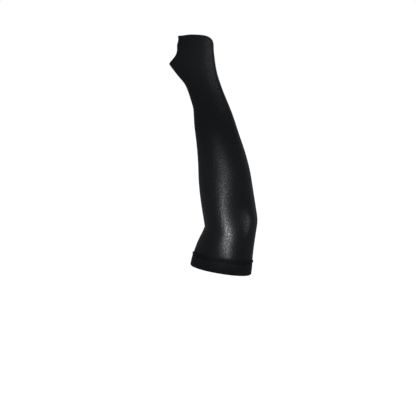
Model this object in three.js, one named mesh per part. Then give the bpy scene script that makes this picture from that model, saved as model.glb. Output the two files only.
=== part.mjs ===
// A cooling sleeve: a stretch-knit tube worn from the knuckles to just above the elbow, with a thumb hole
// in its side and a doubled hem at its lower end. Millimetres, +Z up. It keeps the shape of the arm that it
// is worn on, raised with the back of the hand towards -Y and the thumb towards -X, and it is hollow and
// open at both ends. The origin is the centre of the upper-arm opening, where the arm goes in.
import * as THREE from "three";

// Driving dimensions
const knitThickness = 1.2;
const edgeRoll = 0.4; // how far the hand opening and the thumb hole swell past the knit on each side
const hemThickness = 2.2; // two layers of knit
const hemProud = 0.5; // how far the hem stands out from the tube
const seamHalfWidth = 1.2;
const seamEdgeProud = 0.2;
const seamCrownProud = 1.1;
const pieceGap = 0.3;
const fullness = 0.3; // how much squarer a flat section is than a round one
const sides = 36; // columns of knit around the tube

// The worn sections, from the hem up to the knuckles, each a slanted oval.
// left, right: x and z of its two ends, which draw the outline seen from the front
// front, back: how far it reaches towards -Y and +Y
// egg: how much it narrows towards the right and widens towards the left
// lift, skew: how far its front rises, and its front right corner beside its front left one
// rings: steps of the surface up to the next section, 2 where the row gives no other number
// A row without egg, lift or skew has none.
const sections = [
  { name: "hem_edge", left: [-55, 8.4], right: [54.8, -8.8], front: 42, back: 42,
    egg: -0.05, lift: -3, rings: 3 },
  { name: "hem_top", left: [-49.8, 29.2], right: [57, 14.4], front: 41.6, back: 41, egg: -0.05, lift: -3 },
  { name: "above_elbow", left: [-41.2, 53.1], right: [60.7, 46.8], front: 40.9, back: 39, lift: -1 },
  { name: "elbow_crease", left: [-31.7, 72], right: [64.3, 71.1], front: 41.9, back: 37, egg: 0.04 },
  { name: "elbow", left: [-30.6, 83.7], right: [66.5, 89.1], front: 43, back: 36, egg: 0.14 },
  { name: "below_elbow", left: [-33.5, 102.6], right: [63.5, 110.7], front: 43.9, back: 37,
    egg: 0.165, rings: 3 },
  { name: "forearm_full", left: [-37.4, 129.6], right: [58.1, 144.9], front: 44.2, back: 38,
    egg: 0.1, rings: 3 },
  { name: "forearm_upper", left: [-40.3, 159.3], right: [52.9, 176.4], front: 42, back: 37, rings: 3 },
  { name: "forearm_middle", left: [-41.4, 193.5], right: [44.1, 210.6], front: 37, back: 34, rings: 3 },
  { name: "forearm_slim", left: [-44.3, 228.6], right: [32.4, 244.8], front: 30, back: 29, rings: 3 },
  { name: "forearm_end", left: [-48.1, 260.1], right: [21.7, 277.2], front: 25, back: 25 },
  { name: "wrist_bone", left: [-50, 288.9], right: [10.8, 304.2], front: 21.5, back: 22.5 },
  { name: "wrist", left: [-54, 304.2], right: [4.7, 318.6], front: 19.5, back: 21.5 },
  { name: "hand_heel", left: [-63.5, 331.2], right: [-4.2, 343.8], front: 18.5, back: 22 },
  { name: "thumb_ball", left: [-74.7, 344.7], right: [-6.9, 353.4], front: 18, back: 23 },
  { name: "thumb_base", left: [-84.6, 357.3], right: [-9.1, 364.5], front: 17.5, back: 23 },
  { name: "thumb_corner", left: [-92.3, 369], right: [-10.6, 374.4], front: 17.5, back: 22 },
  { name: "thumb_web", left: [-88.9, 383.4], right: [-11.7, 383.4], front: 17, back: 21, lift: 1 },
  { name: "palm", left: [-83.5, 392.4], right: [-12.4, 389.7], front: 16.5, back: 19.5, lift: 3, skew: 1 },
  { name: "hole_top", left: [-77, 403.2], right: [-12.8, 396.9], front: 16, back: 18.5,
    lift: 5, skew: 2, rings: 1 },
  { name: "hand", left: [-76, 411], right: [-13, 400.9], front: 15.5, back: 17.5, lift: 7, skew: 3 },
  { name: "hand_edge", left: [-76, 418], right: [-13.7, 404.1], front: 15, back: 17, lift: 9.4, skew: 3.7 },
];

// Dents pressed into the knit, and one swelling, whose depth is negative. Each is soft and lies about a
// section (1.5 is halfway between the second and the third) and an angle in degrees, where 0 is the right,
// 90 the back, 180 the left and 270 the front.
const dents = [
  { name: "elbow_bone", section: 4.3, angle: 318, depth: -1.7, along: 0.75, around: 16 },
  { name: "elbow_fold", section: 3.5, angle: 180, depth: 1.6, along: 0.3, around: 45 },
  { name: "wrist_fold", section: 11.1, angle: 180, depth: 0.7, along: 0.3, around: 70 },
];

// The thumb hole: its edge is an oval from a top point to the pointed corner below the thumb.
const thumbHole = {
  firstSection: "thumb_corner",
  lastSection: "hole_top",
  columns: 8,
  top: new THREE.Vector3(-77.2, 0, 403),
  corner: new THREE.Vector3(-92.3, 0, 369),
  halfWidth: 12,
  inset: new THREE.Vector3(5.2, 0, 0), // how far the edge draws back from the thumb halfway up
  reach: 4, // columns and rings of knit that follow the edge
};

const sectionNumber = (wanted) => sections.findIndex(({ name }) => name === wanted);

function smoothTrack(pick) {
  return new THREE.CatmullRomCurve3(sections.map(pick), false, "centripetal");
}

const leftTrack = smoothTrack(({ left: [x, z] }) => new THREE.Vector3(x, 0, z));
const rightTrack = smoothTrack(({ right: [x, z] }) => new THREE.Vector3(x, 0, z));
const depthTrack = smoothTrack(({ front, back }) => new THREE.Vector3(front, back, 0));
const bendTrack = smoothTrack(({ egg = 0, lift = 0, skew = 0 }) => new THREE.Vector3(egg, lift, skew));

const degreesApart = (a, b) => Math.abs(((((a - b) % 360) + 540) % 360) - 180);

function dentDepth(section, angle) {
  const degrees = THREE.MathUtils.radToDeg(angle);
  let depth = 0;
  for (const dent of dents) {
    const along = (section - dent.section) / dent.along;
    const around = degreesApart(degrees, dent.angle) / dent.around;
    depth += dent.depth * Math.exp(-(along * along) - around * around);
  }
  return depth;
}

// A point on the outside of the knit, at a section, which may lie between two rows of the table, and an
// angle about the arm.
function knitPoint(section, angle) {
  const t = section / (sections.length - 1);
  const left = leftTrack.getPoint(t);
  const right = rightTrack.getPoint(t);
  const { x: front, y: back } = depthTrack.getPoint(t);
  const { x: egg, y: lift, z: skew } = bendTrack.getPoint(t);
  const flatness = 1 - (front + back) / left.distanceTo(right);
  const rounded = (value) => Math.sign(value) * Math.abs(value) ** (1 - fullness * flatness);
  const across = rounded(Math.cos(angle));
  const away = rounded(Math.sin(angle));
  const centre = left.clone().lerp(right, 0.5);
  const point = left.lerp(right, (1 + across) / 2);
  point.y = away * (away > 0 ? back : front) * (1 - egg * across);
  const inwards = centre.sub(point).normalize();
  point.addScaledVector(inwards, dentDepth(section, angle));
  point.z -= lift * away + skew * Math.sin(2 * angle);
  return point;
}

function knitRing(section) {
  return Array.from({ length: sides }, (_, column) => knitPoint(section, (2 * Math.PI * column) / sides));
}

// Pulls the knit around the thumb hole to the hole's oval edge, and less and less further away.
function openThumbHole(grid, block) {
  const { top, corner, halfWidth, inset, reach } = thumbHole;
  const middle = top.clone().lerp(corner, 0.5);
  const upwards = top.clone().sub(middle);
  const midColumn = (block.firstColumn + block.lastColumn) / 2;
  const midRing = (block.firstRing + block.lastRing) / 2;
  const before = grid.map((ring) => ring.map((point) => point.clone()));

  function edgePoint(column, ring) {
    const across = (column - midColumn) / (block.lastColumn - midColumn);
    const along = (ring - midRing) / (block.lastRing - midRing);
    const turn = Math.atan2(across, along);
    const point = middle.clone().addScaledVector(upwards, Math.cos(turn));
    point.addScaledVector(inset, Math.sin(turn) ** 4);
    point.y -= halfWidth * Math.sin(turn);
    return point;
  }

  grid.forEach((ring, j) =>
    ring.forEach((point, i) => {
      const column = THREE.MathUtils.clamp(i, block.firstColumn, block.lastColumn);
      const row = THREE.MathUtils.clamp(j, block.firstRing, block.lastRing);
      const onEdge = [block.firstColumn, block.lastColumn].includes(column)
        || [block.firstRing, block.lastRing].includes(row);
      const follow = 1 - THREE.MathUtils.smoothstep(Math.hypot(i - column, j - row), 0, reach);
      if (onEdge && follow > 0) {
        const pull = edgePoint(column, row).sub(before[row][column]);
        point.addScaledVector(pull, follow);
      }
    }),
  );
}

function outwardNormals(grid, isOpen) {
  const normals = grid.map((ring) => ring.map(() => new THREE.Vector3()));
  for (let j = 0; j + 1 < grid.length; j++) {
    for (let i = 0; i < sides; i++) {
      if (isOpen(i, j)) continue;
      const next = (i + 1) % sides;
      const rise = grid[j + 1][next].clone().sub(grid[j][i]);
      const turn = grid[j][next].clone().sub(grid[j + 1][i]);
      const facing = turn.cross(rise);
      for (const [ring, column] of [[j, i], [j, next], [j + 1, next], [j + 1, i]]) {
        normals[ring][column].add(facing);
      }
    }
  }
  return normals.map((ring) => ring.map((normal) => normal.normalize()));
}

// A closed wall round a grid of rings. proud and thickness give each point's place across the wall, and every
// free edge, also that of an open cell, is closed by a strip from the outside to the inside.
function wall(grid, proud, thickness, isOpen = () => false) {
  const normals = outwardNormals(grid, isOpen);
  const moved = (point, i, j, out) => point.clone().addScaledVector(normals[j][i], out);
  const placed = (out) => grid.flatMap((ring, j) => ring.map((point, i) => moved(point, i, j, out(i, j))));
  const outside = placed(proud);
  const inside = placed((i, j) => proud(i, j) - thickness(i, j));
  const insideStart = outside.length;
  const triangles = [];
  const isCell = (i, j) => j >= 0 && j + 1 < grid.length && !isOpen((i + sides) % sides, j);

  for (let j = 0; j + 1 < grid.length; j++) {
    for (let i = 0; i < sides; i++) {
      if (!isCell(i, j)) continue;
      const next = (i + 1) % sides;
      const corners = [j * sides + i, j * sides + next, (j + 1) * sides + next, (j + 1) * sides + i];
      const [a, b, c, d] = corners;
      const [e, f, g, h] = corners.map((corner) => corner + insideStart);
      triangles.push(a, b, c, a, c, d, e, g, f, e, h, g);
      const neighbours = [[i, j - 1], [i + 1, j], [i, j + 1], [i - 1, j]];
      neighbours.forEach((neighbour, side) => {
        if (isCell(...neighbour)) return;
        const from = corners[side];
        const to = corners[(side + 1) % corners.length];
        triangles.push(to, from, from + insideStart, to, from + insideStart, to + insideStart);
      });
    }
  }
  const geometry = new THREE.BufferGeometry().setFromPoints([...outside, ...inside]);
  geometry.setIndex(triangles);
  geometry.computeVertexNormals();
  return geometry;
}

const seamSection = sectionNumber("hem_top");
const spanAbove = leftTrack.points[seamSection].distanceTo(leftTrack.points[seamSection + 1]);
const spanBelow = rightTrack.points[seamSection].distanceTo(rightTrack.points[seamSection - 1]);
const tubeStart = seamSection + (seamHalfWidth + pieceGap) / spanAbove;
const hemEnd = seamSection - (seamHalfWidth + pieceGap) / spanBelow;

function sleeveTube() {
  const ringSections = [];
  for (let number = seamSection; number + 1 < sections.length; number++) {
    const start = Math.max(number, tubeStart);
    const steps = sections[number].rings ?? 2;
    for (let step = 0; step < steps; step++) {
      ringSections.push(start + ((number + 1 - start) * step) / steps);
    }
  }
  ringSections.push(sections.length - 1);
  const hole = {
    firstRing: ringSections.indexOf(sectionNumber(thumbHole.firstSection)),
    lastRing: ringSections.indexOf(sectionNumber(thumbHole.lastSection)),
    firstColumn: (sides - thumbHole.columns) / 2,
    lastColumn: (sides + thumbHole.columns) / 2,
  };

  const grid = ringSections.map(knitRing);
  openThumbHole(grid, hole);
  const within = (value, first, last) => value >= first && value <= last;
  const isOpen = (i, j) =>
    within(i, hole.firstColumn, hole.lastColumn - 1) && within(j, hole.firstRing, hole.lastRing - 1);
  const isRolled = (i, j) =>
    j === grid.length - 1
    || (within(i, hole.firstColumn, hole.lastColumn) && within(j, hole.firstRing, hole.lastRing));
  const proud = (i, j) => (isRolled(i, j) ? edgeRoll : 0);
  const thickness = (i, j) => knitThickness + 2 * proud(i, j);
  return wall(grid, proud, thickness, isOpen);
}

function hemSeam() {
  const crownShare = 0.5; // the crown's part of the seam's width
  const grid = [-1, -crownShare, crownShare, 1].map((across) =>
    knitRing(seamSection + (across * seamHalfWidth) / (across > 0 ? spanAbove : spanBelow)),
  );
  const isCrown = (j) => j > 0 && j < grid.length - 1;
  const proud = (i, j) => (isCrown(j) ? seamCrownProud : seamEdgeProud);
  const thickness = (i, j) => knitThickness + proud(i, j);
  return wall(grid, proud, thickness);
}

function upperArmHem() {
  const steps = sections[0].rings;
  const grid = Array.from({ length: steps + 1 }, (_, step) => knitRing((hemEnd * step) / steps));
  return wall(grid, () => hemProud, () => hemThickness);
}

const knit = new THREE.MeshStandardMaterial({ color: 0x1a1b1d, roughness: 0.6, metalness: 0 });
const doubledKnit = new THREE.MeshStandardMaterial({ color: 0x161719, roughness: 0.75, metalness: 0 });
const thread = new THREE.MeshStandardMaterial({ color: 0x1c1d1f, roughness: 0.7, metalness: 0 });

function named(name, geometry, material) {
  const mesh = new THREE.Mesh(geometry, material);
  mesh.name = name;
  return mesh;
}

const sleeve = new THREE.Group();
sleeve.name = "cooling_sleeve";
sleeve.add(named("sleeve_tube", sleeveTube(), knit));
sleeve.add(named("hem_seam", hemSeam(), thread));
sleeve.add(named("upper_arm_hem", upperArmHem(), doubledKnit));

export default sleeve;
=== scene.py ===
import math

import bmesh
import bpy
import numpy as np
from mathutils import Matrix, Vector
from mathutils.bvhtree import BVHTree
from mathutils.kdtree import KDTree


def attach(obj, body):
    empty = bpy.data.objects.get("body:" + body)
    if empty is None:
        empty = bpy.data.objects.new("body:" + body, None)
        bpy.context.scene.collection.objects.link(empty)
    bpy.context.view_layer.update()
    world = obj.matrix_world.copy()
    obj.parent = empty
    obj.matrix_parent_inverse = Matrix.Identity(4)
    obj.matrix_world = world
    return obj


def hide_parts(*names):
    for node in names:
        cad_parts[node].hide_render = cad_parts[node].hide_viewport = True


# The cooling sleeve in its worn shape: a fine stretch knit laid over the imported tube, its rolled edges, the
# doubled hem with its sewn seam, and a plain studio. Metres, +Z up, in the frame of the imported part.
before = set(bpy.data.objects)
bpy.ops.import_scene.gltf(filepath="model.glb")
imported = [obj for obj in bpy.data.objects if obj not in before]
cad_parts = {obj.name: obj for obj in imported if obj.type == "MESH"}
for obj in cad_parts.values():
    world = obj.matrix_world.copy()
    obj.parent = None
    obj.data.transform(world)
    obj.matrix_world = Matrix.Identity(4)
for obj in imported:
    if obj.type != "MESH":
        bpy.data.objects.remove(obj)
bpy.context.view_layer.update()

MM = 0.001
KNIT_MAP = "knit"  # the map of the turn about the sleeve and the metres along it
FOLD_MARK = "hem_fold"

# Fine surfaces
WELD = 1e-6
TUBE_WALLS = (1.2 * MM, 2.0 * MM)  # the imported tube's thickness at its lower end, and at its rolled edges
HEM_WALLS = (2.2 * MM,)
THICKNESS_TOLERANCE = 2e-6
FINE_LEVELS = 2
RIM_SUPPORT = 3.4 * MM  # width of the strip beside a free edge that gets steps of its own
RIM_SUPPORT_MOST = 0.6  # that strip's largest share of a cell
TUBE_RIM_ROUND = 0.5 * MM
HEM_RIM_ROUND = 0.85 * MM

# What tells the free edges apart: the place of each one's middle
HAND_ABOVE = 0.40
THUMB_LEFT_OF = -0.07
SEAM_BELOW = 0.05
HEM_TOP_WITHIN = 5.0 * MM  # below the seam's plane

# Lines laid along the cloth
CURVE_STEPS = 8  # steps of the smooth curve between two points of a line
RIM_LINE_POINTS = 400
EDGE_LINE_POINTS = 200
FOLD_LINE_POINTS = 240
RAY_START = 0.15  # from the seam's middle, outside the cloth all round

# The rolled edges at the hand and round the thumb hole, in distances from the free edge
ROLL_PROUD = 0.28 * MM
ROLL_RISE = (0.1 * MM, 1.2 * MM)
ROLL_FALL = (2.4 * MM, 3.2 * MM)
EDGE_STITCH_PLACE = 4.0 * MM
GROOVE_DEPTH = 0.16 * MM  # under the stitches
GROOVE_WIDTH = 0.7 * MM

# The hem
FOLD_HEIGHT = 7.0 * MM  # the turned-in knit above the seam, duller than the rest
FOLD_FADE = 0.8 * MM
HEM_BELLY = 0.35 * MM
HEM_RIPPLE = 0.12 * MM
HEM_RIPPLES = 34
RIPPLE_REACH = 9.0 * MM  # how far below the seam the ripples fade
RIPPLE_WANDERS = 5  # slow waves round the hem that push the ripples to and fro
RIPPLE_WANDER = 0.9

# The seam's ridge: heights along the sleeve and distances out of the knit, once round its section
RIDGE_STEPS = 288
RIDGE_PROFILE = [
    (-2.1 * MM, -0.35 * MM), (-1.8 * MM, 0.25 * MM), (-1.35 * MM, 0.66 * MM), (-0.75 * MM, 0.95 * MM),
    (0.0, 1.05 * MM),
    (0.75 * MM, 0.92 * MM), (1.35 * MM, 0.58 * MM), (1.8 * MM, 0.08 * MM), (2.15 * MM, -0.5 * MM),
    (2.4 * MM, -1.05 * MM), (2.3 * MM, -1.5 * MM), (0.0, -1.6 * MM), (-2.0 * MM, -1.2 * MM),
]

# Threads
THREAD_SIDES = 6
THREAD_RADIUS = 0.19 * MM
THREAD_END = 0.45  # a thread's width at its two ends, as a share of its middle's
THREAD_FULLNESS = 0.6  # under 1 a thread keeps its width for longer
STITCH_ARCH = 1.5  # how far a stitch rises from its ends to its middle, in thread radii
STITCH_SINK = 0.7  # how deep its ends lie in the cloth, in thread radii
STITCH_FULLNESS = 0.7  # under 1 a stitch keeps its height for longer
OVERLOCK_COUNT = 190
OVERLOCK_REACH = 1.75 * MM
OVERLOCK_SLANT = 0.45  # a thread's lean at each end, as a share of the space between two threads
OVERLOCK_RADIUS = 1.25 * THREAD_RADIUS
ROW_STITCH = 1.9 * MM
ROW_GAP = 0.7 * MM

# Knit
WALES = 368
COURSE_PITCH = 0.55 * MM
NOISE_TURN = (0.7, 0.5, 0.3)  # keeps the flat planes of the noise from lying along the cloth
SLACK_AND_PAINTED_LIFT = (0.06, 0.34)  # metres along the sleeve: between these the knit gets less stretched, and its colour is painted paler as painted light on the wrist and hand
FOREARM_DULLING = (0.06, 0.15)  # metres along the sleeve: the two lengths on which the knit gets rougher
WRIST_DULLING = (0.22, 0.30)
SHEEN_TINT = (0.80, 0.85, 1.0, 1.0)


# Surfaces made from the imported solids


def add_object(name, mesh):
    piece = bpy.data.objects.new(name, mesh)
    bpy.context.scene.collection.objects.link(piece)
    return piece


def vertex_places(mesh):
    places = np.empty(len(mesh.vertices) * 3)
    mesh.vertices.foreach_get("co", places)
    return places.reshape(-1, 3)


def vertex_normals(mesh):
    normals = np.empty(len(mesh.vertices) * 3)
    mesh.vertex_normals.foreach_get("vector", normals)
    return normals.reshape(-1, 3)


def move_vertices(mesh, places):
    mesh.vertices.foreach_set("co", places.ravel())
    mesh.update()


class WallCage:
    """A packed wall of cloth as a mesh of quads, with the strips that close its free edges told apart."""

    def __init__(self, node_name, thicknesses):
        self.mesh = bmesh.new()
        self.mesh.from_mesh(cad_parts[node_name].data)
        bmesh.ops.remove_doubles(self.mesh, verts=self.mesh.verts[:], dist=WELD)
        through = {edge for edge in self.mesh.edges if self.goes_through(edge, thicknesses)}
        strips = {face for face in self.mesh.faces if any(edge in through for edge in face.edges)}
        self.rims = [edge for edge in self.mesh.edges if sum(f in strips for f in edge.link_faces) == 1]
        diagonals = [
            edge for edge in self.mesh.edges
            if edge not in through and all(face in strips for face in edge.link_faces)
        ]
        diagonals += self.surface_diagonals(strips)
        bmesh.ops.dissolve_edges(self.mesh, edges=diagonals, use_verts=False)

    @staticmethod
    def goes_through(edge, thicknesses):
        length = edge.calc_length()
        return any(abs(length - thickness) < THICKNESS_TOLERANCE for thickness in thicknesses)

    def surface_diagonals(self, strips):
        """The edges that cut the surface's cells into triangles, found from the squarest cell outwards."""
        left = {face for face in self.mesh.faces if face not in strips}
        found = []
        while left:
            inner = [edge for edge in self.mesh.edges if all(face in left for face in edge.link_faces)]
            waiting = [max(inner, key=self.diagonal_likeness)]
            while waiting:
                diagonal = waiting.pop()
                if not all(face in left for face in diagonal.link_faces):
                    continue
                found.append(diagonal)
                left.difference_update(diagonal.link_faces)
                waiting += self.neighbour_diagonals(diagonal, left)
        return found

    @staticmethod
    def diagonal_likeness(edge):
        around = {other for face in edge.link_faces for other in face.edges if other is not edge}
        return edge.calc_length() / sum(other.calc_length() for other in around)

    @staticmethod
    def neighbour_diagonals(diagonal, left):
        """The diagonals of the cells beside a cell, each from the shared edge's end off this diagonal."""
        made = []
        for face in diagonal.link_faces:
            for shared in face.edges:
                for neighbour in shared.link_faces:
                    if neighbour in left:
                        start = next(v for v in shared.verts if v not in diagonal.verts)
                        made += [e for e in neighbour.edges if start in e.verts and e is not shared]
        return made

    def rim_loops(self):
        """The closed lines of the free edges, each as an array of its points in order."""
        following = {}
        for edge in self.rims:
            for one, other in (edge.verts, reversed(edge.verts)):
                following.setdefault(one, []).append(other)
        loops = []
        while following:
            here = next(iter(following))
            loop = []
            while here is not None:
                loop.append(here)
                here = next((v for v in following.pop(here) if v in following), None)
            loops.append(np.array([vertex.co[:] for vertex in loop]))
        return loops

    def add_rim_supports(self, width):
        """Cuts the cells beside each free edge, so that the edge's own strip is narrow."""
        rim_vertices = {vertex for edge in self.rims for vertex in edge.verts}
        cuts = {}
        for edge in self.mesh.edges:
            on_rim = [vertex in rim_vertices for vertex in edge.verts]
            if sum(on_rim) == 1:
                share = min(RIM_SUPPORT_MOST, width / edge.calc_length())
                cuts[edge] = share if on_rim[0] else 1 - share
        bmesh.ops.subdivide_edges(self.mesh, edges=list(cuts), cuts=1, edge_percents=cuts)

    def points(self):
        return np.array([vertex.co[:] for vertex in self.mesh.verts])

    def fine_surface(self, name, rim_round):
        """The cage's smooth surface, with rounded free edges, as a new object."""
        bmesh.ops.bevel(
            self.mesh, geom=self.rims, offset=rim_round, segments=2, profile=0.5, affect="EDGES"
        )
        cage_mesh = bpy.data.meshes.new(name + "_cage")
        self.mesh.to_mesh(cage_mesh)
        self.mesh.free()
        piece = add_object(name, cage_mesh)
        smooth = piece.modifiers.new("fine", "SUBSURF")
        smooth.levels = FINE_LEVELS
        smooth.render_levels = FINE_LEVELS
        evaluated = piece.evaluated_get(bpy.context.evaluated_depsgraph_get())
        mesh = bpy.data.meshes.new_from_object(evaluated)
        mesh.name = name
        piece.modifiers.clear()
        piece.data = mesh
        bpy.data.meshes.remove(cage_mesh)
        mesh.shade_smooth()
        return piece


def distance_to(points, loops):
    """How far each point is from the nearest of some closed lines."""
    line = np.concatenate([resampled(loop, RIM_LINE_POINTS)[0] for loop in loops])
    tree = KDTree(len(line))
    for number, point in enumerate(line):
        tree.insert(point, number)
    tree.balance()
    return np.array([tree.find(point)[2] for point in points])


def resampled(loop, count):
    """A closed line as evenly spaced points on a smooth curve, and the directions along it."""
    ends = np.concatenate([loop[-1:], loop, loop[:2]])
    steps = np.linspace(0, 1, CURVE_STEPS, endpoint=False)[:, None]
    curve = []
    for a, b, c, d in zip(ends, ends[1:], ends[2:], ends[3:]):
        curve.append(
            0.5 * (2 * b + (c - a) * steps + (2 * a - 5 * b + 4 * c - d) * steps**2
                   + (3 * b - a - 3 * c + d) * steps**3)
        )
    curve = np.concatenate(curve)
    closed = np.concatenate([curve, curve[:1]])
    lengths = np.linalg.norm(np.diff(closed, axis=0), axis=1)
    along = np.concatenate([[0], np.cumsum(lengths)])
    wanted = np.linspace(0, along[-1], count, endpoint=False)
    points = np.stack([np.interp(wanted, along, closed[:, axis]) for axis in range(3)], 1)
    forward = unit(np.roll(points, -1, 0) - np.roll(points, 1, 0))
    return points, forward


def longest(loops):
    return max(loops, key=lambda loop: np.linalg.norm(np.roll(loop, -1, 0) - loop, axis=1).sum())


def unit(vectors):
    return vectors / np.maximum(np.linalg.norm(vectors, axis=-1, keepdims=True), 1e-12)


def soft_step(values, low, high):
    share = np.clip((values - low) / (high - low), 0, 1)
    return share * share * (3 - 2 * share)


# The sleeve's middle line, for the knit map


class MiddleLine:
    """The sleeve's middle as curves in z, fitted to the middles of slices, with the length along it."""

    SLICES = 30
    SLICE_REACH = 12 * MM  # above and below its height
    FIRST_SLICE = 10 * MM  # over the tube's lowest point
    ACROSS_DEGREE = 5
    AWAY_DEGREE = 3
    LENGTH_STEPS = 400
    NEAREST_ROUNDS = 4

    def __init__(self, points):
        lowest, highest = points[:, 2].min(), points[:, 2].max()
        heights = np.linspace(lowest + self.FIRST_SLICE, highest - self.SLICE_REACH, self.SLICES)
        middles = []
        for height in heights:
            found = points[np.abs(points[:, 2] - height) < self.SLICE_REACH]
            middles.append((found.min(0) + found.max(0)) / 2)
        middles = np.array(middles)
        self.across = np.polynomial.Polynomial.fit(heights, middles[:, 0], self.ACROSS_DEGREE)
        self.away = np.polynomial.Polynomial.fit(heights, middles[:, 1], self.AWAY_DEGREE)
        self.slope = self.across.deriv()
        fine = np.linspace(lowest, highest, self.LENGTH_STEPS)
        rise = np.hypot(1, self.slope(fine))
        self.heights = fine
        self.lengths = np.concatenate([[0], np.cumsum((rise[1:] + rise[:-1]) / 2 * np.diff(fine))])

    def around_and_along(self, points):
        """Each point's turn about the line, -0.5 to 0.5 with 0 at the front, and its length along it."""
        height = points[:, 2].copy()
        for _ in range(self.NEAREST_ROUNDS):
            slope = self.slope(height)
            off = (points[:, 0] - self.across(height)) * slope + (points[:, 2] - height)
            height += off / (1 + slope**2)
        slope = self.slope(height)
        scale = np.hypot(1, slope)
        side = (points[:, 0] - self.across(height) - (points[:, 2] - height) * slope) / scale
        turn = np.arctan2(side, -(points[:, 1] - self.away(height))) / (2 * math.pi)
        return turn, np.interp(height, self.heights, self.lengths)


def add_knit_map(mesh, middle_line):
    """Writes the knit map. The turn of a face that crosses the back is carried on past it."""
    turn, along = middle_line.around_and_along(vertex_places(mesh))
    corners = np.empty(len(mesh.loops), int)
    mesh.loops.foreach_get("vertex_index", corners)
    starts = np.empty(len(mesh.polygons), int)
    mesh.polygons.foreach_get("loop_start", starts)
    totals = np.empty(len(mesh.polygons), int)
    mesh.polygons.foreach_get("loop_total", totals)
    corner_turn = turn[corners]
    highest = np.repeat(np.maximum.reduceat(corner_turn, starts), totals)
    corner_turn = np.where(highest - corner_turn > 0.5, corner_turn + 1, corner_turn)
    places = np.stack([corner_turn, along[corners]], 1)
    layer = mesh.uv_layers.new(name=KNIT_MAP)
    layer.uv.foreach_set("vector", places.astype(np.float32).ravel())


# Ridges and threads


def swept_ring(name, line, up, profile):
    """A closed ring whose section is a profile of heights along up and distances outwards, in metres."""
    points, forward = resampled(line, RIDGE_STEPS)
    outward = unit(np.cross(forward, up))
    outward *= np.sign((outward * (points - points.mean(0))).sum(1, keepdims=True))
    heights, reaches = np.array(profile).T
    places = (
        points[:, None, :] + heights[None, :, None] * up + reaches[None, :, None] * outward[:, None, :]
    )
    number = np.arange(places.shape[0] * places.shape[1]).reshape(places.shape[:2])
    ahead = np.roll(number, -1, 0)
    faces = np.stack([number, ahead, np.roll(ahead, -1, 1), np.roll(number, -1, 1)], -1)
    mesh = bpy.data.meshes.new(name)
    mesh.from_pydata(places.reshape(-1, 3).tolist(), [], faces.reshape(-1, 4).tolist())
    mesh.validate()
    fix = bmesh.new()
    fix.from_mesh(mesh)
    bmesh.ops.recalc_face_normals(fix, faces=fix.faces[:])
    fix.to_mesh(mesh)
    fix.free()
    mesh.shade_smooth()
    return add_object(name, mesh)


def threads(name, paths, outward, radius):
    """One mesh of short round threads, one along each path, tapered into the cloth at both ends."""
    count, steps, _ = paths.shape
    forward = unit(np.gradient(paths, axis=1))
    sideways = unit(np.cross(forward, outward))
    up = np.cross(sideways, forward)
    turns = np.arange(THREAD_SIDES) * 2 * math.pi / THREAD_SIDES
    swell = THREAD_END + (1 - THREAD_END) * np.sin(np.linspace(0, math.pi, steps)) ** THREAD_FULLNESS
    across = np.cos(turns)[:, None] * sideways[:, :, None, :]
    above = np.sin(turns)[:, None] * up[:, :, None, :]
    rings = paths[:, :, None, :] + radius * swell[None, :, None, None] * (across + above)
    number = np.arange(count * steps * THREAD_SIDES).reshape(count, steps, THREAD_SIDES)
    following = np.roll(number, -1, axis=2)
    walls = np.stack([number[:, :-1], following[:, :-1], following[:, 1:], number[:, 1:]], -1)
    faces = walls.reshape(-1, 4).tolist()
    faces += number[:, 0, ::-1].tolist()
    faces += number[:, -1].tolist()
    mesh = bpy.data.meshes.new(name)
    mesh.from_pydata(rings.reshape(-1, 3).tolist(), [], faces)
    mesh.validate()
    mesh.shade_smooth()
    return add_object(name, mesh)


def surface_tree(*pieces):
    places, faces = [], []
    for piece in pieces:
        start = len(places)
        places += [vertex.co.copy() for vertex in piece.data.vertices]
        faces += [[start + corner for corner in face.vertices] for face in piece.data.polygons]
    return BVHTree.FromPolygons(places, faces)


def stitch_heights(steps):
    """How high a stitch's points lie over the cloth: sunk at both ends, on top of it between them."""
    arch = np.sin(np.linspace(0, math.pi, steps)) ** STITCH_FULLNESS
    return THREAD_RADIUS * (STITCH_ARCH * arch - STITCH_SINK)


def stitch_row(name, tree, line):
    """A row of running stitches along a closed line on the cloth."""
    length = np.linalg.norm(np.roll(line, -1, 0) - line, axis=1).sum()
    count = round(length / (ROW_STITCH + ROW_GAP))
    steps = 5
    per_stitch = 12
    filled = round(per_stitch * ROW_STITCH / (ROW_STITCH + ROW_GAP))
    dense = resampled(line, count * per_stitch)[0].reshape(count, per_stitch, 3)
    picks = np.linspace(0, filled, steps).round().astype(int)
    paths = np.empty((count, steps, 3))
    outward = np.empty((count, steps, 3))
    for stitch in range(count):
        for step, pick in enumerate(picks):
            place, normal, _, _ = tree.find_nearest(Vector(dense[stitch, pick]))
            paths[stitch, step] = place
            outward[stitch, step] = normal
    paths += outward * stitch_heights(steps)[None, :, None]
    return threads(name, paths, outward, THREAD_RADIUS)


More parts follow.
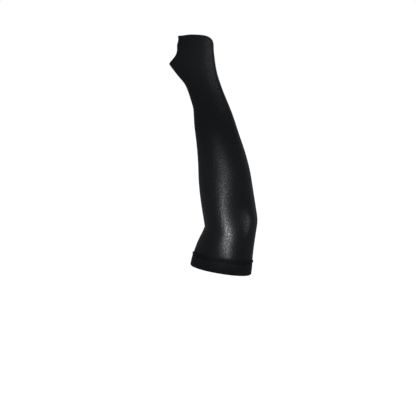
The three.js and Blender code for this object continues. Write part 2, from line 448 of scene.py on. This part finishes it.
class SeamPlane:
    """The plane of the hem's seam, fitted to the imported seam, and rays that meet the cloth round it."""

    def __init__(self, points):
        self.middle = (points.min(0) + points.max(0)) / 2
        self.up = np.linalg.svd(points - points.mean(0), full_matrices=False)[2][2]
        self.up = self.up * np.sign(self.up[2])
        self.right = unit(np.array([1.0, 0, 0]) - self.up * self.up[0])
        self.back = np.cross(self.up, self.right)

    def height(self, points):
        return (points - self.middle) @ self.up

    def point_on(self, tree, turn, height):
        """The outermost cloth at a turn round the seam and a height over it, and its direction outwards."""
        outward = self.right * math.cos(turn) + self.back * math.sin(turn)
        start = Vector(self.middle + self.up * height + outward * RAY_START)
        place, normal, _, _ = tree.ray_cast(start, Vector(-outward))
        return place, normal

    def in_order(self, loop):
        """A ring's points in the order of their turn round the seam."""
        off = loop - self.middle
        return loop[np.argsort(np.arctan2(off @ self.back, off @ self.right))]

    def ring(self, tree, height, count):
        turns = np.arange(count) * 2 * math.pi / count
        return np.array([self.point_on(tree, turn, height)[0][:] for turn in turns])


def overlock(name, tree, seam):
    """Slanted threads over the seam's ridge, side by side all the way round."""
    steps = 7
    pitch = 2 * math.pi / OVERLOCK_COUNT
    heights = np.linspace(-OVERLOCK_REACH, OVERLOCK_REACH, steps)
    paths = np.empty((OVERLOCK_COUNT, steps, 3))
    outward = np.empty((OVERLOCK_COUNT, steps, 3))
    for stitch in range(OVERLOCK_COUNT):
        for step, height in enumerate(heights):
            turn = (stitch + OVERLOCK_SLANT * height / OVERLOCK_REACH) * pitch
            paths[stitch, step], outward[stitch, step] = seam.point_on(tree, turn, height)
    paths += outward * stitch_heights(steps)[None, :, None]
    return threads(name, paths, outward, OVERLOCK_RADIUS)


# Material nodes


def feed(tree, target, inputs):
    for socket, value in inputs.items():
        if isinstance(value, bpy.types.NodeSocket):
            tree.links.new(value, target.inputs[socket])
        else:
            target.inputs[socket].default_value = value


def node(tree, kind, inputs=None, **settings):
    made = tree.nodes.new(kind)
    for name, value in settings.items():
        setattr(made, name, value)
    feed(tree, made, inputs or {})
    return made


def calculate(tree, operation, first, second):
    made = node(tree, "ShaderNodeMath", {0: first, 1: second}, operation=operation)
    return made.outputs[0]


def rescale(tree, value, low, high, from_low=0.0, from_high=1.0):
    inputs = {"Value": value, "From Min": from_low, "From Max": from_high, "To Min": low, "To Max": high}
    return node(tree, "ShaderNodeMapRange", inputs).outputs["Result"]


def blend_colours(tree, share, first, second):
    made = node(tree, "ShaderNodeMix", data_type="RGBA")
    feed(tree, made, {"Factor": share})
    for socket, value in zip([s for s in made.inputs if s.type == "RGBA"], (first, second)):
        if isinstance(value, bpy.types.NodeSocket):
            tree.links.new(value, socket)
        else:
            socket.default_value = (*value, 1)
    return next(s for s in made.outputs if s.type == "RGBA")


def noise(tree, scale, detail=2.0):
    """Noise in the part's own frame, with a scale for each axis, in marks a metre."""
    place = node(tree, "ShaderNodeTexCoord").outputs["Object"]
    mapping = {"Vector": place, "Scale": scale, "Rotation": NOISE_TURN}
    stretched = node(tree, "ShaderNodeMapping", mapping).outputs["Vector"]
    inputs = {"Vector": stretched, "Scale": 1.0, "Detail": detail}
    return node(tree, "ShaderNodeTexNoise", inputs).outputs["Fac"]


def bump(tree, height, strength, distance, normal=None):
    inputs = {"Height": height, "Strength": strength, "Distance": distance}
    if normal is not None:
        inputs["Normal"] = normal
    return node(tree, "ShaderNodeBump", inputs).outputs["Normal"]


def knit_place(tree):
    """The turn about the sleeve and the metres along it, from the knit map."""
    place = node(tree, "ShaderNodeUVMap", uv_map=KNIT_MAP).outputs["UV"]
    parts = node(tree, "ShaderNodeSeparateXYZ", {"Vector": place}).outputs
    return parts["X"], parts["Y"]


def knit_loops(tree):
    """The height of a plain knit's loops, 0 to 1: columns of V shapes."""
    turn, along = knit_place(tree)
    column = calculate(tree, "MULTIPLY", turn, WALES)
    course = calculate(tree, "DIVIDE", along, COURSE_PITCH)
    leg = calculate(tree, "MULTIPLY", calculate(tree, "PINGPONG", column, 0.25), 4.0)
    lean = calculate(tree, "ADD", course, calculate(tree, "PINGPONG", column, 0.5))
    loop = calculate(tree, "MULTIPLY", calculate(tree, "PINGPONG", lean, 0.5), 2.0)
    return calculate(tree, "MULTIPLY", leg, rescale(tree, loop, 0.45, 1.0))


def start_material(name, inputs):
    material = bpy.data.materials.new(name)
    material.use_nodes = True
    tree = material.node_tree
    shader = tree.nodes["Principled BSDF"]
    feed(tree, shader, inputs)
    return material, tree, shader


def stretch_knit():
    """Fine black knit with a soft sheen. Light breaks up into short level dashes on its tight courses."""
    material, tree, shader = start_material("stretch_knit", {
        "Specular IOR Level": 1.0,
        "Anisotropic": 0.75,
        "Anisotropic Rotation": 0.25,
        "Sheen Weight": 0.02,
        "Sheen Roughness": 0.45,
        "Sheen Tint": SHEEN_TINT,
    })
    loops = knit_loops(tree)
    dashes = noise(tree, (360, 360, 500), detail=0.0)
    patches = noise(tree, (38, 38, 60))
    folded = node(tree, "ShaderNodeAttribute", attribute_name=FOLD_MARK).outputs["Fac"]
    along = knit_place(tree)[1]
    slack_and_painted_lift = rescale(tree, along, 0.0, 1.0, *SLACK_AND_PAINTED_LIFT)

    yarn = blend_colours(tree, loops, (0.0017, 0.0017, 0.0021), (0.0031, 0.0032, 0.0038))
    patchy = blend_colours(tree, rescale(tree, patches, 0.0, 0.5), yarn, (0.0023, 0.0024, 0.0032))
    # Painted light: the colour turns paler along the sleeve towards the wrist and hand. This lifts their tone
    # where the lamps light them less than the forearm.
    painted_lift_colour = blend_colours(tree, rescale(tree, slack_and_painted_lift, 0.0, 0.8), patchy, (0.0140, 0.0144, 0.0162))
    colour = blend_colours(tree, folded, painted_lift_colour, (0.0120, 0.0124, 0.0140))

    tight = rescale(tree, dashes, 0.40, 0.54, 0.35, 0.65)
    forearm = rescale(tree, along, 0.0, 0.11, *FOREARM_DULLING)
    wrist = rescale(tree, along, 0.0, 0.08, *WRIST_DULLING)
    worn = calculate(tree, "ADD", tight, calculate(tree, "ADD", forearm, wrist))
    roughness = calculate(tree, "MAXIMUM", worn, rescale(tree, folded, 0.0, 0.92))

    grainy = rescale(tree, slack_and_painted_lift, 0.16, 0.46, 0.0, 0.35)
    smoothed = rescale(tree, slack_and_painted_lift, 0.0, 0.36, 0.45, 0.8)
    uneven = bump(tree, dashes, calculate(tree, "SUBTRACT", grainy, smoothed), 0.9 * MM)
    courses = node(tree, "ShaderNodeTangent", direction_type="UV_MAP", uv_map=KNIT_MAP)
    feed(tree, shader, {
        "Base Color": colour,
        "Roughness": roughness,
        "Normal": bump(tree, loops, 0.08, 0.12 * MM, uneven),
        "Tangent": courses.outputs["Tangent"],
    })
    return material


def doubled_knit():
    """The hem's two layers: tighter, smoother and duller than the tube."""
    material, tree, shader = start_material("doubled_knit", {
        "Specular IOR Level": 0.9,
        "Sheen Weight": 0.06,
        "Sheen Roughness": 0.5,
        "Sheen Tint": SHEEN_TINT,
    })
    loops = knit_loops(tree)
    cloud = noise(tree, (120, 120, 90), detail=3.0)
    yarn = blend_colours(tree, loops, (0.0060, 0.0062, 0.0071), (0.0100, 0.0104, 0.0120))
    colour = blend_colours(tree, rescale(tree, cloud, 0.0, 0.5), yarn, (0.0078, 0.0083, 0.0098))
    uneven = bump(tree, cloud, 0.2, 0.4 * MM)
    feed(tree, shader, {
        "Base Color": colour,
        "Roughness": rescale(tree, cloud, 0.62, 0.80, 0.3, 0.7),
        "Normal": bump(tree, loops, 0.3, 0.1 * MM, uneven),
    })
    return material


def seam_thread():
    """Spun thread: matt, with its twist as fine slanted ridges."""
    material, tree, shader = start_material("seam_thread", {
        "Specular IOR Level": 0.3,
        "Sheen Weight": 0.15,
        "Sheen Roughness": 0.4,
    })
    fibres = noise(tree, (2600, 2600, 2600))
    twist = noise(tree, (900, 900, 2400), detail=1.0)
    feed(tree, shader, {
        "Base Color": blend_colours(tree, fibres, (0.006, 0.006, 0.007), (0.013, 0.013, 0.015)),
        "Roughness": rescale(tree, fibres, 0.5, 0.75, 0.3, 0.7),
        "Normal": bump(tree, twist, 0.5, 0.08 * MM),
    })
    return material


# The sleeve's pieces


def roll_edges(piece, free_edges):
    """Swells the knit along its free edges, with a groove under their stitches."""
    places = vertex_places(piece.data)
    from_edge = distance_to(places, free_edges)
    swell = ROLL_PROUD * (soft_step(from_edge, *ROLL_RISE) - soft_step(from_edge, *ROLL_FALL))
    groove = GROOVE_DEPTH * np.exp(-(((from_edge - EDGE_STITCH_PLACE) / GROOVE_WIDTH) ** 2))
    normals = vertex_normals(piece.data)
    move_vertices(piece.data, places + normals * (swell - groove)[:, None])


def mark_fold(piece, seam):
    """Writes where the knit is turned in above the seam, 1 there and 0 on the rest."""
    height = seam.height(vertex_places(piece.data))
    fold = 1 - soft_step(height, FOLD_HEIGHT - FOLD_FADE, FOLD_HEIGHT)
    attribute = piece.data.attributes.new(FOLD_MARK, "FLOAT", "POINT")
    attribute.data.foreach_set("value", fold.astype(np.float32))


def pad_hem(piece, seam, middle_line):
    """Gives the doubled band a soft belly and the fine ripples of a stretched edge below the seam."""
    places = vertex_places(piece.data)
    depth = -seam.height(places)
    share = depth / depth.max()
    angle = 2 * math.pi * middle_line.around_and_along(places)[0]
    wander = np.sin(angle * RIPPLE_WANDERS) * RIPPLE_WANDER
    ripple = np.sin(angle * HEM_RIPPLES + wander) * np.exp(-depth / RIPPLE_REACH)
    out = HEM_BELLY * np.sin(math.pi * np.clip(share, 0, 1)) + HEM_RIPPLE * ripple
    radial = unit(places * (1, 1, 0) - seam.middle * (1, 1, 0))
    move_vertices(piece.data, places + radial * out[:, None])


def down_the_sleeve(points, middle_line):
    slope = middle_line.slope(points[:, 2])
    return unit(np.stack([-slope, np.zeros(len(points)), -np.ones(len(points))], 1))


def away_from_hole(points):
    forward = resampled(points, len(points))[1]
    spread = points - points.mean(0)
    spread[:, 0] = np.abs(spread[:, 0])
    return unit(spread - forward * (spread * forward).sum(1, keepdims=True))


def laid_on(tree, points):
    """The nearest places on the cloth to some points."""
    return np.array([tree.find_nearest(Vector(point))[0][:] for point in points])


tube_cage = WallCage("sleeve_tube", TUBE_WALLS)
tube_edges = tube_cage.rim_loops()
hand_edges = [loop for loop in tube_edges if loop[:, 2].mean() > HAND_ABOVE]
thumb_edges = [loop for loop in tube_edges if loop[:, 0].mean() < THUMB_LEFT_OF]
tube_ends = [loop for loop in tube_edges if loop[:, 2].mean() < SEAM_BELOW]
sleeve_line = MiddleLine(tube_cage.points())
hem_seam = SeamPlane(vertex_places(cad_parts["hem_seam"].data))

tube_cage.add_rim_supports(RIM_SUPPORT)
knit = tube_cage.fine_surface("sleeve_knit", TUBE_RIM_ROUND)
roll_edges(knit, hand_edges + thumb_edges)
mark_fold(knit, hem_seam)
add_knit_map(knit.data, sleeve_line)

hem_cage = WallCage("upper_arm_hem", HEM_WALLS)
hem_tops = [loop for loop in hem_cage.rim_loops() if hem_seam.height(loop).mean() > -HEM_TOP_WITHIN]
hem = hem_cage.fine_surface("hem_band", HEM_RIM_ROUND)
pad_hem(hem, hem_seam, sleeve_line)
add_knit_map(hem.data, sleeve_line)

seam_path = (hem_seam.in_order(longest(tube_ends)) + hem_seam.in_order(longest(hem_tops))) / 2
seam_ridge = swept_ring("seam_ridge", seam_path, hem_seam.up, RIDGE_PROFILE)
add_knit_map(seam_ridge.data, sleeve_line)

cloth_tree = surface_tree(knit, hem, seam_ridge)
knit_tree = surface_tree(knit)
fold_path = hem_seam.ring(knit_tree, FOLD_HEIGHT, FOLD_LINE_POINTS)
hand_rim = resampled(longest(hand_edges), EDGE_LINE_POINTS)[0]
hand_path = laid_on(knit_tree, hand_rim + down_the_sleeve(hand_rim, sleeve_line) * EDGE_STITCH_PLACE)
thumb_rim = resampled(longest(thumb_edges), EDGE_LINE_POINTS)[0]
thumb_path = laid_on(knit_tree, thumb_rim + away_from_hole(thumb_rim) * EDGE_STITCH_PLACE)
stitching = [
    overlock("seam_stitches", cloth_tree, hem_seam),
    stitch_row("fold_stitches", knit_tree, fold_path),
    stitch_row("hand_edge_stitches", knit_tree, hand_path),
    stitch_row("thumb_edge_stitches", knit_tree, thumb_path),
]

knit_material = stretch_knit()
hem_material = doubled_knit()
thread_material = seam_thread()
for piece, material, slot in [
    (knit, knit_material, "stretch_knit"),
    (hem, hem_material, "doubled_knit"),
    (seam_ridge, hem_material, "seam_thread"),
    *((row, thread_material, "seam_thread") for row in stitching),
]:
    piece.data.materials.clear()
    piece.data.materials.append(material)
    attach(piece, "root")
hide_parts("sleeve_tube")
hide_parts("upper_arm_hem")
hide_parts("hem_seam")


# Studio

FLOOR_DROP = 0.30  # the sleeve is held up, so the floor is well below
FLOOR_RADIUS = 14.0
FLOOR_SIDES = 96
FLOOR_GLOW = 0.97
BACKGROUND = (1.0, 1.0, 1.0)
SURROUND_TINT = (0.86, 0.91, 1.0)
SURROUND_STRENGTH = 0.133
COOL = (0.92, 0.955, 1.0)
COOLER = (0.90, 0.94, 1.0)


def pale_floor():
    material, tree, shader = start_material("pale_floor", {
        "Specular IOR Level": 0.1,
        "Emission Color": (*BACKGROUND, 1),
        "Emission Strength": FLOOR_GLOW,
    })
    grain = noise(tree, (60, 60, 60))
    feed(tree, shader, {
        "Base Color": blend_colours(tree, grain, (0.80, 0.80, 0.80), (0.82, 0.82, 0.82)),
        "Roughness": rescale(tree, grain, 0.85, 0.95),
    })
    return material


def make_floor():
    disc = bmesh.new()
    bmesh.ops.create_circle(disc, cap_ends=True, segments=FLOOR_SIDES, radius=FLOOR_RADIUS)
    mesh = bpy.data.meshes.new("floor")
    disc.to_mesh(mesh)
    disc.free()
    mesh.materials.append(pale_floor())
    floor = add_object("floor", mesh)
    floor.location.z = -FLOOR_DROP
    floor.visible_diffuse = False
    floor.visible_glossy = False
    return floor


def make_world():
    """A pale surround, shown as the floor's own tone and lighting the sleeve only a little."""
    world = bpy.data.worlds.new("studio")
    bpy.context.scene.world = world
    world.use_nodes = True
    tree = world.node_tree
    tree.nodes.clear()
    shown = node(tree, "ShaderNodeBackground", {"Color": (*BACKGROUND, 1), "Strength": 1.0})
    lit = node(tree, "ShaderNodeBackground", {"Color": (*SURROUND_TINT, 1), "Strength": SURROUND_STRENGTH})
    direct = node(tree, "ShaderNodeLightPath").outputs["Is Camera Ray"]
    mixed = node(tree, "ShaderNodeMixShader", {0: direct, 1: lit.outputs[0], 2: shown.outputs[0]})
    output = node(tree, "ShaderNodeOutputWorld")
    tree.links.new(mixed.outputs[0], output.inputs["Surface"])


def softbox(name, place, target, size, power, beam, colour=COOL):
    """A lamp with a width and height in metres, a power in watts and a beam in degrees."""
    lamp = bpy.data.lights.new(name, "AREA")
    lamp.shape = "RECTANGLE"
    lamp.size, lamp.size_y = size
    lamp.energy = power
    lamp.color = colour
    lamp.spread = math.radians(beam)
    light = bpy.data.objects.new(name, lamp)
    bpy.context.scene.collection.objects.link(light)
    light.visible_camera = False
    light.location = place
    light.rotation_euler = (Vector(target) - Vector(place)).to_track_quat("-Z", "Y").to_euler()


VIEW_DISTANCE = 2.6
VIEW_ELEVATION = math.radians(6)
VIEW_TARGET = Vector((-0.0232, 0, 0.1107))
SENSOR_WIDTH = 36.0
FRAME_WIDTH = 0.7488  # metres across the frame at the sleeve


def make_camera():
    camera = bpy.data.cameras.new("camera")
    camera.sensor_width = SENSOR_WIDTH
    camera.lens = SENSOR_WIDTH * VIEW_DISTANCE / FRAME_WIDTH
    eye = bpy.data.objects.new("camera", camera)
    bpy.context.scene.collection.objects.link(eye)
    back = Vector((0, -math.cos(VIEW_ELEVATION), math.sin(VIEW_ELEVATION)))
    eye.location = VIEW_TARGET + back * VIEW_DISTANCE
    eye.rotation_euler = (-back).to_track_quat("-Z", "Y").to_euler()
    bpy.context.scene.camera = eye


make_floor()
make_world()
softbox("forearm_strip", (-0.03, -1.0, -0.10), (0.0, -0.04, 0.149), (0.03, 0.06), 0.0108, 9.4)
softbox("elbow_glow", (-0.02, -1.0, -0.24), (0.01, -0.04, 0.067), (0.03, 0.03), 0.0064, 6.5)
softbox("elbow_accent", (0.913, -0.472, 0.024), (0.047, -0.031, 0.088), (0.05, 0.03), 0.00038, 2.2)
softbox("hand_fill", (0.68, -0.92, 0.50), (-0.03, -0.01, 0.380), (0.20, 0.10), 0.0070, 9.5, COOLER)
softbox("hand_side", (1.04, -0.44, 0.50), (-0.03, -0.01, 0.380), (0.20, 0.10), 0.0092, 9.5, COOLER)
softbox("back_right", (0.95, 0.80, 0.35), (0.0, 0.0, 0.16), (0.10, 0.30), 0.003, 20)
softbox("back_strip", (0.02, 1.10, 0.05), (0.0, 0.0, 0.16), (0.03, 0.20), 0.0125, 14)
make_camera()
bpy.context.scene.view_settings.view_transform = "Standard"
